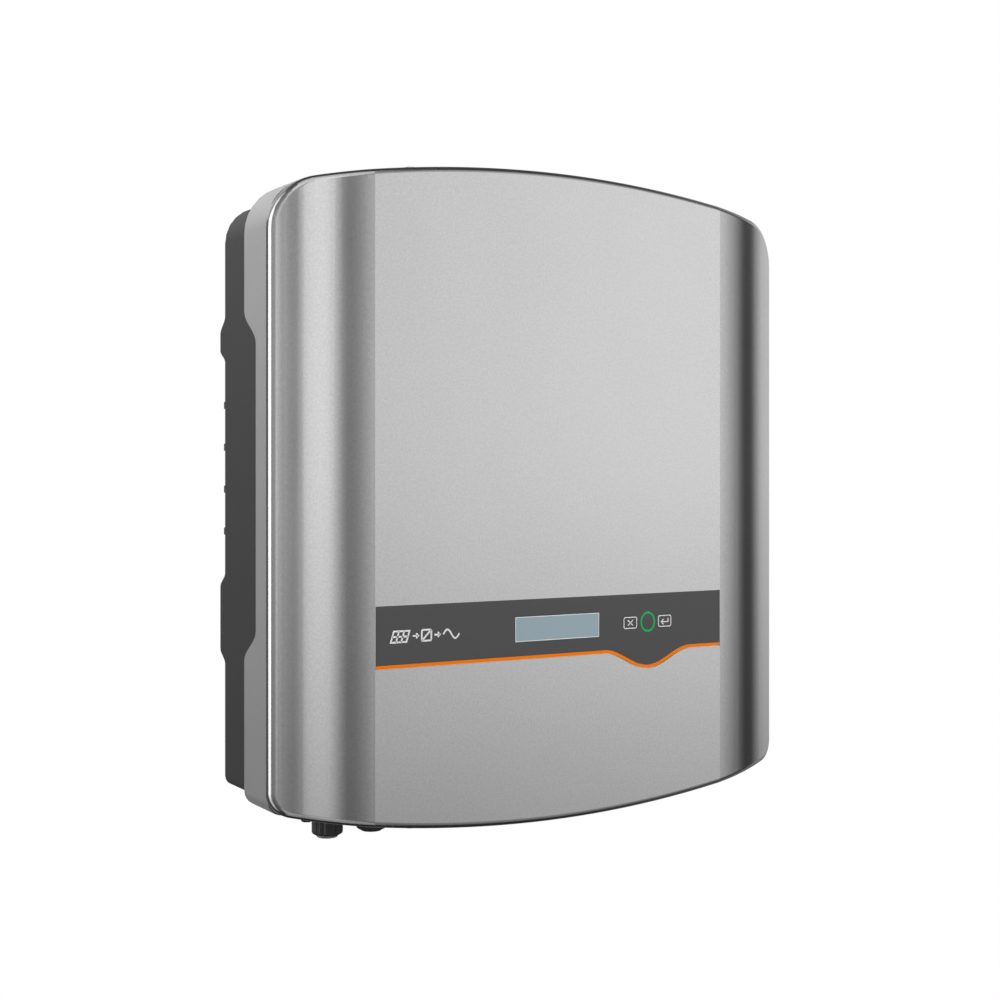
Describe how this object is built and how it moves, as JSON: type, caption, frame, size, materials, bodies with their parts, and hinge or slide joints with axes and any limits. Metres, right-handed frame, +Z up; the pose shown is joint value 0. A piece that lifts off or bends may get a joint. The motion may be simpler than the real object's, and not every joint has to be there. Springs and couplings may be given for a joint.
{
  "type": "string inverter",
  "caption": "Wall-hung solar string inverter: arched metallic cover with a display stripe, grey housing, finned rear body, plug ports below and a hook-on bracket.",
  "frame": {"origin": "on the wall plane, at the back face of the wall bracket, on the centre line and level with the middle of the front cover", "axes": "+X to the right seen from the front, +Y into the wall, +Z up"},
  "size_m": [0.36, 0.133, 0.3999],
  "materials": {
    "silver_paint": "satin metallic paint with a fine grain",
    "grey_paint": "satin powder coat",
    "dark_plastic": "fine moulded texture",
    "cast_aluminium": "dark anodised casting",
    "rubber": "matt",
    "overlay_film": "printed polycarbonate film",
    "orange_film": "printed film",
    "lcd_glass": "clear window over a reflective display",
    "green_light": "translucent light guide",
    "black_plastic": "moulded glass-filled nylon",
    "zinc_steel": "zinc plated",
    "circuit_board": "solder mask",
    "grey_resin": "cast resin",
    "copper": "enamelled winding wire",
    "capacitor_sleeve": "shrink sleeve",
    "white_plastic": "satin",
    "grey_plastic": "satin",
    "black_steel": "black oxide steel"
  },
  "bodies": {
    "bracket": {"wall_bracket": "zinc_steel"},
    "inverter": {"front_cover": "silver_paint", "display_overlay": "overlay_film", "accent_strip": "orange_film", "lcd_window": "lcd_glass", "lcd_panel": "white_plastic", "status_ring": "green_light", "status_lens": "overlay_film", "display_board": "circuit_board", "cover_gasket": "rubber", "middle_housing": "grey_paint", "left_side_panel": "dark_plastic", "right_side_panel": "dark_plastic", "chassis": "cast_aluminium", "heatsink": "cast_aluminium", "heatsink_gasket": "rubber", "hanger_rail": "zinc_steel", "ac_socket": "black_plastic", "ac_cap": "rubber", "comm_socket": "black_plastic", "dc_switch_seal": "rubber", "dc_switch_body": "grey_resin", "vent_valve": "black_plastic", "ground_terminal": "black_steel", "main_board": "circuit_board", "thermal_pad": "grey_resin", "emi_choke": "copper", "current_sensor": "black_plastic", "control_board": "circuit_board", "ribbon_cable": "white_plastic", "cover_screw_1": "zinc_steel", "dc_connector_1": "black_plastic", "dc_dust_cap_1": "grey_plastic", "dc_link_capacitor_1": "capacitor_sleeve", "cover_screw_2": "zinc_steel", "dc_connector_2": "black_plastic", "dc_dust_cap_2": "rubber", "dc_link_capacitor_2": "capacitor_sleeve", "cover_screw_3": "zinc_steel", "dc_connector_3": "black_plastic", "dc_dust_cap_3": "grey_plastic", "dc_link_capacitor_3": "capacitor_sleeve", "cover_screw_4": "zinc_steel", "dc_connector_4": "black_plastic", "dc_dust_cap_4": "rubber", "dc_link_capacitor_4": "capacitor_sleeve", "power_module_1": "black_plastic", "boost_inductor_1": "grey_resin", "filter_inductor_1": "grey_resin", "grid_relay_1": "black_plastic", "power_module_2": "black_plastic", "boost_inductor_2": "grey_resin", "filter_inductor_2": "grey_resin", "grid_relay_2": "black_plastic"},
    "esc_button": {"esc_key": "overlay_film"},
    "enter_button": {"enter_key": "overlay_film"},
    "switch_knob": {"dc_switch_knob": "black_plastic"},
    "grid_ring": {"ac_coupling_ring": "black_plastic"},
    "comm_cover": {"comm_cap": "black_plastic"}
  },
  "joints": [
    {"name": "unit_lift", "type": "slide", "parent": "bracket", "child": "inverter", "axis": [0, 0, 1], "range_m": [0, 0.02]},
    {"name": "esc_press", "type": "slide", "parent": "inverter", "child": "esc_button", "axis": [0, 1, 0], "range_m": [0, 0.0006], "stiffness_N_per_m": 1500},
    {"name": "enter_press", "type": "slide", "parent": "inverter", "child": "enter_button", "axis": [0, 1, 0], "range_m": [0, 0.0006], "stiffness_N_per_m": 1500},
    {"name": "dc_switch_turn", "type": "hinge", "parent": "inverter", "child": "switch_knob", "pos_m": [0.01, -0.073, -0.19], "axis": [0, 0, 1], "range_deg": [0, 90]},
    {"name": "grid_ring_turn", "type": "hinge", "parent": "inverter", "child": "grid_ring", "pos_m": [0.11, -0.073, -0.188], "axis": [0, 0, 1], "range_deg": [0, 40]},
    {"name": "comm_cap_turn", "type": "hinge", "parent": "inverter", "child": "comm_cover", "pos_m": [0.055, -0.073, -0.188], "axis": [0, 0, 1], "range_deg": [0, 60]}
  ]
}
